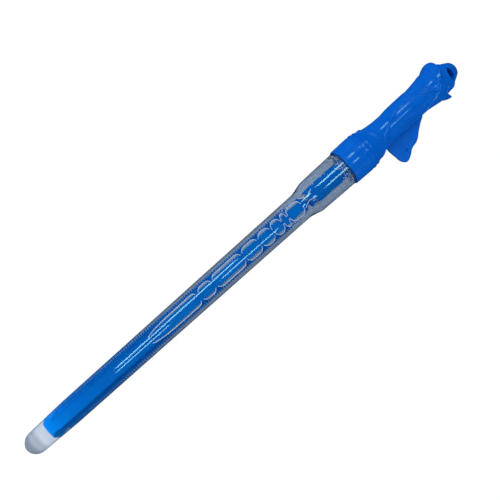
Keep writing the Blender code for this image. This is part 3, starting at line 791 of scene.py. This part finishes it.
def make_cap():
    rim = X_LEDGE + FIT
    top = X_GRIP - SEAM
    inner = SPIGOT_RADIUS - SPIGOT_WALL
    socket = SOCKET_BORE + SOCKET_WALL
    taper = (CAP_RADIUS - CAP_RIM_RADIUS) / (top - rim - CAP_EDGE)
    groove = []
    for step, depth in ((-GROOVE_HALF, 0.0), (0.0, GROOVE_DEPTH), (GROOVE_HALF, 0.0)):
        x = X_CAP_GROOVE + step
        groove.append((x, CAP_RADIUS - taper * (top - x) - depth))
    bm = lathe([
        (rim + RIM_FLARE, CAP_BORE), (rim, CAP_RIM_RADIUS - CAP_EDGE), (rim + CAP_EDGE, CAP_RIM_RADIUS),
        *groove, (top, CAP_RADIUS), (top, SPIGOT_RADIUS),
        (X_SPIGOT, SPIGOT_RADIUS), (X_SPIGOT, inner), (X_WEB_TOP, inner), (X_WEB_TOP, socket),
        (X_SOCKET_TOP, socket), (X_SOCKET_TOP, SOCKET_BORE), (X_WEB, SOCKET_BORE), (X_WEB, CAP_BORE),
    ], loop=True)
    soften(bm, CAP_ROUNDING, past=top - FIT)
    piece("screw_cap_skirt", bm, "wand_body", GRIP_BLUE, ["screw_cap"])


def make_seal():
    outer = CAP_BORE - FIT
    end = X_SEAL + SEAL_THICKNESS
    bm = lathe([(X_SEAL, SEAL_BORE), (X_SEAL, outer), (end, outer), (end, SEAL_BORE)], loop=True)
    soften(bm, SEAL_ROUNDING)
    piece("seal_ring", bm, "seal_body", LINER, ["cap_seal"])


def make_stem():
    flange = SEAL_BORE - 2 * FIT
    flange_top = X_SEAL + SEAL_THICKNESS
    plug_top = X_SOCKET_TOP - FIT
    bm = lathe([
        (X_STEM, 0.0), (X_STEM, STEM_RADIUS - STEM_NOSE), (X_STEM + STEM_NOSE, STEM_RADIUS),
        (X_SEAL, STEM_RADIUS), (X_SEAL, flange), (flange_top, flange), (flange_top, PLUG_RADIUS),
        (plug_top - CAP_EDGE, PLUG_RADIUS), (plug_top, PLUG_RADIUS - CAP_EDGE), (plug_top, 0.0),
    ], steps=ROUND_SMALL)
    soften(bm, STEM_ROUNDING)
    slot = bmesh.new()
    size = Matrix.Diagonal((2 * TANG_LENGTH + 2 * FIT, TANG_THICKNESS + 2 * FIT, TANG_WIDTH + 2 * FIT, 1.0))
    bmesh.ops.create_cube(slot, size=1.0, matrix=Matrix.Translation((X_STEM, 0.0, 0.0)) @ size)
    bm = carved(bm, [slot])
    piece("wand_stem_rod", bm, "wand_body", WAND_BLUE, ["wand_stem"])


def ridged_edge():
    """One edge of the blade seen edge-on: rounded ridges from its tip to its plain end, then the tang."""
    half = BLADE_THICKNESS / 2
    start = TIP_GAP + TIP_WIDTH / 2
    count = int((X_BLADE_END - PLAIN_END - start) / RIDGE_PITCH)
    points = [(0.0, half)]
    for i in range(count):
        for u in RIDGE_STEPS:
            rise = RIDGE_HEIGHT * math.sin(math.pi * u) ** RIDGE_FULLNESS
            points.append((start + (i + u) * RIDGE_PITCH, half + rise))
    past = X_STEM + 2 * TANG_LENGTH
    return points + [(X_BLADE_END, half), (X_STEM - FIT, TANG_THICKNESS / 2), (past, TANG_THICKNESS / 2)]


def blade_outlines():
    """The blade seen face-on: a blunt tip, rails that widen with the bore, a tang and a row of slots."""
    half = BLADE_WIDTH / 2
    tang = TANG_WIDTH / 2
    end = X_STEM + TANG_LENGTH
    corner = (TIP_GAP + TIP_ROUND, TIP_WIDTH / 2 - TIP_ROUND)
    tip = arc(corner, TIP_ROUND, 90, 180, CORNER_STEPS)
    tip += arc((corner[0] - TIP_SLANT, -corner[1]), TIP_ROUND, 180, 270, CORNER_STEPS)
    top = [
        (HEEL_LENGTH, -half), (X_BLADE_END, -BLADE_END_WIDTH / 2), (X_STEM - FIT, -tang), (end, -tang)]
    outlines = [tip + top + [(x, -y) for x, y in reversed(top)]]
    first = TIP_GAP + RAIL_WIDTH
    pitch = (X_BLADE_END - first) / SLOT_COUNT
    radius = TIP_WIDTH / 2 - RAIL_WIDTH
    for i in range(SLOT_COUNT):
        near = first + i * pitch + radius
        far = first + (i + 1) * pitch - BAR_WIDTH - radius
        slot = arc((near, 0.0), radius, 90, 270, SLOT_STEPS)
        outlines.append(slot + arc((far, 0.0), radius, -90, 90, SLOT_STEPS))
    return outlines


def make_blade():
    edge = ridged_edge()
    bar = flat_plate([edge + [(x, -y) for x, y in reversed(edge)]], 2 * BLADE_WIDTH)
    face = flat_plate(blade_outlines(), 2 * BLADE_THICKNESS + 4 * RIDGE_HEIGHT)
    face.transform(Matrix.Rotation(math.pi / 2, 4, "X"))
    bm = carved(bar, [face], "INTERSECT")
    piece("ridged_blade", bm, "wand_body", WAND_BLUE, ["wand_blade"], crease=RIDGE_CREASE)


# Grip

def grip_centre(x):
    """How far the grip's centre line lies off the tube's axis, away from the leaf."""
    return GRIP_BOW * ease(clamp((x - X_GRIP) / (X_WAIST - X_GRIP)))


def grip_radius(x):
    """Bead, shoulder, waist, flare, bud and dome, from the cap to the end."""
    shoulder = X_GRIP + BEAD_LENGTH
    if x < shoulder:
        return CAP_RADIUS - BEAD_DROP * (x - X_GRIP) / BEAD_LENGTH
    if x < X_WAIST:
        left = (X_WAIST - x) / (X_WAIST - shoulder)
        return WAIST_RADIUS + (GRIP_SHOULDER_RADIUS - WAIST_RADIUS) * left ** 3
    if x < X_FLARE:
        return WAIST_RADIUS + (FLARE_RADIUS - WAIST_RADIUS) * ((x - X_WAIST) / (X_FLARE - X_WAIST)) ** 2
    if x < X_BUD:
        return FLARE_RADIUS + (BUD_RADIUS - FLARE_RADIUS) * ease((x - X_FLARE) / (X_BUD - X_FLARE))
    if x < X_DOME:
        return BUD_RADIUS + (DOME_RADIUS - BUD_RADIUS) * (x - X_BUD) / (X_DOME - X_BUD)
    taper = DOME_RADIUS + (DOME_END_RADIUS - DOME_RADIUS) * (x - X_DOME) / DOME_LENGTH
    return min(taper, math.sqrt(max(DOME_LENGTH ** 2 - (x - X_DOME) ** 2, 0.0)))


def grip_point(x, swing, depth=0.0):
    """A point on the grip's surface, at an angle from its front toward the leaf."""
    radius = grip_radius(x) - depth
    return Vector((x, grip_centre(x) - radius * math.sin(swing), radius * math.cos(swing)))


def bow(bm):
    """Shift a turned form along the grip's bowed centre line."""
    for v in bm.verts:
        v.co.y += grip_centre(v.co.x)
    return bm


def groove_depth(x):
    """How deep the groove round the start of the grip is."""
    off = (x - X_GRIP_GROOVE) / GROOVE_HALF
    return GROOVE_DEPTH * max(1.0 - off * off, 0.0)


def grip_core():
    """The turned form of the grip, bowed, with the eyelet cut through its bud."""
    shoulder = X_GRIP + BEAD_LENGTH
    places = spread(X_GRIP - BAND_RADIUS, shoulder - FIT, BEAD_STEPS)
    places += spread(shoulder, X_DOME, GRIP_STEPS)
    places += [X_DOME + DOME_LENGTH * math.sin(a) for a in spread(0.0, math.pi / 2, DOME_STEPS)[1:]]
    chain = [(places[0], 0.0)] + [(x, grip_radius(x) - groove_depth(x)) for x in places]
    chain[-1] = (X_DOME + DOME_LENGTH, 0.0)
    core = bow(lathe(chain))
    bend = EYELET_HEIGHT / 2
    reach = EYELET_WIDTH / 2 - bend
    oval = arc((X_EYELET, Y_EYELET + reach), bend, 0, 180, CORNER_STEPS)
    oval += arc((X_EYELET, Y_EYELET - reach), bend, 180, 360, CORNER_STEPS)
    return carved(core, [flat_plate([oval], 4 * BUD_RADIUS)])


def petal_cup():
    """A flared cup round the bud, cut to a notch in front and behind so that two petals stand."""
    root = X_FLARE - PETAL_ROOT
    bulge = X_FLARE + PETAL_BULGE
    rim = X_FLARE + PETAL_LENGTH
    sunk = grip_radius(root) - PETAL_WALL
    outside = []
    for x in spread(root, bulge, PETAL_STEPS):
        lift = math.sin(math.pi / 2 * (x - root) / (bulge - root)) ** 2
        outside.append((x, sunk + (PETAL_RADIUS - sunk) * lift))
    for x in spread(bulge, rim, CURL_STEPS)[1:]:
        outside.append((x, PETAL_RADIUS - PETAL_CURL * ((x - bulge) / (rim - bulge)) ** 2))
    cup = lathe(outside + [(x, r - PETAL_WALL) for x, r in reversed(outside)], loop=True)
    bmesh.ops.translate(cup, verts=cup.verts, vec=(0.0, GRIP_BOW, 0.0))
    wide = 2 * PETAL_RADIUS
    notch = flat_plate([[
        (X_FLARE, GRIP_BOW), (X_FLARE + FAR_SIDE_SLOPE * wide, GRIP_BOW + wide),
        (X_END + wide, GRIP_BOW + wide), (X_END + wide, GRIP_BOW - wide),
        (X_FLARE + LEAF_SIDE_SLOPE * wide, GRIP_BOW - wide),
    ]], 4 * wide)
    return carved(cup, [notch])


def band_swing(x):
    """Angle of a raised band: over the parting plane to the front, out and back, then under a petal."""
    steep = math.pi / 2 / (X_CROSSING - X_BAND)
    if x < X_CROSSING:
        return -steep * (X_CROSSING - x)
    if x > X_FLARE:
        return -steep * (x - X_FLARE)
    return BAND_SWING * math.sin(math.pi * (x - X_CROSSING) / (X_FLARE - X_CROSSING))


def grip_bands():
    """Four bands that cross on the front and the rear, and the inner petal's edge on each side."""
    places = spread(X_BAND - BAND_RADIUS, X_FLARE + 3 * BAND_RADIUS, BAND_STEPS)
    bands = []
    for face in (0.0, math.pi):
        for hand, depth in ((1.0, BAND_SUNK), (-1.0, BAND_SUNK + BAND_UNDER)):
            line = [grip_point(x, face + hand * band_swing(x), depth) for x in places]
            bands.append(raised_line(line, BAND_RADIUS))
        edge = []
        for u in spread(-1.0, 1.0, PETAL_EDGE_STEPS):
            x = X_FLARE + INNER_PETAL_LENGTH * (1.0 - u * u)
            edge.append(grip_point(x, face + u * INNER_PETAL_SWING, BAND_SUNK))
        bands.append(raised_line(edge, BAND_RADIUS))
    return bands


def grip_leaf():
    """The flat leaf tab, with its root inside the grip."""
    edge = [(X_LEAF + a * LEAF_LENGTH, -b * LEAF_REACH) for a, b in LEAF_OUTLINE]
    root = [(X_LEAF + LEAF_LENGTH, -LEAF_ROOT * LEAF_REACH), (X_LEAF, -LEAF_ROOT * LEAF_REACH)]
    return flat_plate([edge + root], LEAF_THICKNESS, smooth=True, rounding=LEAF_EDGE)


def moulded(parts):
    """The parts run together as one moulding, with small fillets where they meet."""
    made = as_object("moulding", merged(parts))
    melt = made.modifiers.new("melt", "REMESH")
    melt.mode = "VOXEL"
    melt.voxel_size = GRIP_VOXEL
    bm = as_bmesh(made)
    for _ in range(GRIP_SMOOTHING):
        bmesh.ops.smooth_vert(bm, verts=bm.verts, factor=0.5,
                              use_axis_x=True, use_axis_y=True, use_axis_z=True)
    return bm


def grip_hollow():
    """Inside of the grip: the cap's seat and the long hollow, without the two posts that cross it."""
    end = X_SPIGOT + FIT
    places = spread(end - GRIP_WALL, X_FLARE - 2 * GRIP_WALL, HOLLOW_STEPS)
    chain = [(places[0], 0.0)] + [(x, grip_radius(x) - GRIP_WALL) for x in places] + [(places[-1], 0.0)]
    hollow = bow(lathe(chain, steps=ROUND_INSIDE))
    posts = bmesh.new()
    for x in X_POSTS:
        rod(posts, (x, grip_centre(x)), POST_RADIUS, -WAIST_RADIUS, WAIST_RADIUS)
    hollow = carved(hollow, [posts])
    seat = SPIGOT_RADIUS + FIT
    before = X_GRIP - 2 * BAND_RADIUS
    clear = CAP_RADIUS + BAND_RADIUS
    mouth = lathe([
        (before, 0.0), (before, clear), (X_GRIP, clear), (X_GRIP, seat), (end, seat), (end, 0.0),
    ], steps=ROUND_SMALL)
    return carved(hollow, [mouth], "UNION")


def half_of(whole, side):
    """The half of the grip on one side of its parting plane, closed on that plane."""
    bm = whole.copy()
    geom = list(bm.verts) + list(bm.edges) + list(bm.faces)
    cut = bmesh.ops.bisect_plane(bm, geom=geom, dist=CUT_GAP, plane_co=(0.0, 0.0, side * SEAM),
                                 plane_no=(0.0, 0.0, side), clear_inner=True)
    rim = [g for g in cut["geom_cut"] if isinstance(g, bmesh.types.BMEdge)]
    bmesh.ops.triangle_fill(bm, use_beauty=True, edges=rim)
    bmesh.ops.recalc_face_normals(bm, faces=bm.faces)
    return bm


def make_grip():
    parts = [grip_core(), petal_cup(), grip_leaf()] + grip_bands()
    whole = carved(moulded(parts), [grip_hollow()])
    front = half_of(whole, 1.0)
    rear = half_of(whole, -1.0)
    whole.free()
    place = (X_LEAF_PEG, -LEAF_PEG_REACH)
    hole = bmesh.new()
    rod(hole, place, PEG_RADIUS + FIT, -LEAF_THICKNESS, LEAF_THICKNESS)
    front = carved(front, [hole])
    peg = bmesh.new()
    rod(peg, place, PEG_RADIUS, -LEAF_THICKNESS / 4, LEAF_THICKNESS / 2 - FIT)
    soften(peg, PEG_ROUNDING)
    rear = carved(rear, [peg], "UNION")
    piece("grip_front_half", front, "wand_body", GRIP_BLUE, ["grip_front_shell"],
          place=LIE_GRIP)
    piece("grip_rear_half", rear, "wand_body", GRIP_BLUE, ["grip_rear_shell"],
          place=LIE_GRIP)


# Stage

def floor_finish():
    """White to the camera, less so through clear pieces, and dark where plastic mirrors it."""
    material, tree, shader = new_finish("pale_floor")
    shader.inputs["Roughness"].default_value = FLOOR_ROUGHNESS
    shader.inputs["Specular IOR Level"].default_value = 0.0
    glow = tree.nodes.new("ShaderNodeEmission")
    glow.inputs["Color"].default_value = (*WHITE, 1.0)
    glow.inputs["Strength"].default_value = FLOOR_GLOW
    path = tree.nodes.new("ShaderNodeLightPath")
    mirrored = tree.nodes.new("ShaderNodeMath")
    mirrored.operation = "SUBTRACT"
    mirrored.use_clamp = True
    tone = tree.nodes.new("ShaderNodeMix")
    tone.data_type = "RGBA"
    tone.inputs["A"].default_value = (*FLOOR_TONE, 1.0)
    tone.inputs["B"].default_value = (*FLOOR_MIRRORED_TONE, 1.0)
    faint = tree.nodes.new("ShaderNodeMath")
    faint.operation = "MULTIPLY"
    faint.inputs[1].default_value = GLOW_THROUGH
    share = tree.nodes.new("ShaderNodeMath")
    share.operation = "MULTIPLY_ADD"
    share.inputs[1].default_value = GLOW_SEEN
    mix = tree.nodes.new("ShaderNodeMixShader")
    tree.links.new(path.outputs["Is Glossy Ray"], mirrored.inputs[0])
    tree.links.new(path.outputs["Is Transmission Ray"], mirrored.inputs[1])
    tree.links.new(mirrored.outputs["Value"], tone.inputs["Factor"])
    tree.links.new(tone.outputs["Result"], shader.inputs["Base Color"])
    tree.links.new(path.outputs["Is Transmission Ray"], faint.inputs[0])
    tree.links.new(path.outputs["Is Camera Ray"], share.inputs[0])
    tree.links.new(faint.outputs["Value"], share.inputs[2])
    tree.links.new(share.outputs["Value"], mix.inputs["Fac"])
    tree.links.new(shader.outputs["BSDF"], mix.inputs[1])
    tree.links.new(glow.outputs["Emission"], mix.inputs[2])
    tree.links.new(mix.outputs["Shader"], tree.nodes["Material Output"].inputs["Surface"])
    return material


def make_stage():
    bm = bmesh.new()
    bmesh.ops.create_grid(bm, x_segments=1, y_segments=1, size=FLOOR_SIZE)
    floor = as_object("floor", bm)
    floor.data.materials.append(floor_finish())
    floor.location.z = -FLOOR_DROP


def long_light(name, place, turn, size, power, mirrored):
    """A studio light beside the tube, turned toward it, that is either mirrored or lights things up."""
    data = bpy.data.lights.new(name, "AREA")
    data.shape = "RECTANGLE"
    data.size = size[0]
    data.size_y = size[1]
    data.energy = power
    data.color = MIRRORED_TONE if mirrored else WHITE
    lamp = linked(name, data)
    along, across, height = place
    lamp.location = (along, REST_PLACE.y + across, height)
    lamp.rotation_euler = (-math.atan2(across, height), 0.0, turn)
    lamp.visible_glossy = mirrored
    lamp.visible_diffuse = not mirrored
    lamp.visible_transmission = False
    lamp.visible_camera = False


def make_world():
    """Even light from all round, white to the camera, which glossy surfaces mirror only faintly."""
    world = bpy.data.worlds.new("studio")
    world.use_nodes = True
    tree = world.node_tree
    sky = tree.nodes["Background"]
    sky.inputs["Color"].default_value = (*WHITE, 1.0)
    path = tree.nodes.new("ShaderNodeLightPath")
    level = tree.nodes.new("ShaderNodeMapRange")
    level.inputs["To Min"].default_value = SKY_LEVEL
    level.inputs["To Max"].default_value = SKY_MIRRORED_LEVEL
    seen = tree.nodes.new("ShaderNodeMath")
    seen.operation = "ADD"
    tree.links.new(path.outputs["Is Glossy Ray"], level.inputs["Value"])
    tree.links.new(level.outputs["Result"], seen.inputs[0])
    tree.links.new(path.outputs["Is Camera Ray"], seen.inputs[1])
    tree.links.new(seen.outputs["Value"], sky.inputs["Strength"])
    bpy.context.scene.world = world


def make_lights():
    """Two rows of lamps that are only mirrored, and the lamps that light things up."""
    for across, drift, width, lamps in LAMP_ROWS:
        for i, (along, reach) in enumerate(lamps):
            place = (along, across + drift * along, LAMP_HEIGHT)
            power = LAMP_GLARE * reach * width
            long_light("row_%d_%.0f" % (i, 100 * across), place, drift, (reach, width), power, True)
    for name, place, size, power in FILLS:
        long_light(name, place, 0.0, size, power, False)


def make_camera():
    """A camera square on to the tube's axis, turned so that the wand lies aslant in the picture."""
    data = bpy.data.cameras.new("camera")
    data.sensor_width = SENSOR_WIDTH
    data.lens = LENS
    camera = linked("camera", data)
    camera.location = LIE @ Vector(CAMERA_PLACE)
    square_on = Matrix.Rotation(-REST_TILT, 3, "Y") @ Matrix.Rotation(CAMERA_TURN, 3, "Z")
    camera.rotation_euler = square_on.to_euler()
    bpy.context.scene.camera = camera


bpy.context.scene.view_settings.view_transform = "Standard"
make_camera()
make_world()
make_lights()
make_stage()
make_tube()
make_solution()
make_rims()
make_foam()
make_cap()
make_seal()
make_stem()
make_blade()
make_grip()

bpy.context.view_layer.update()
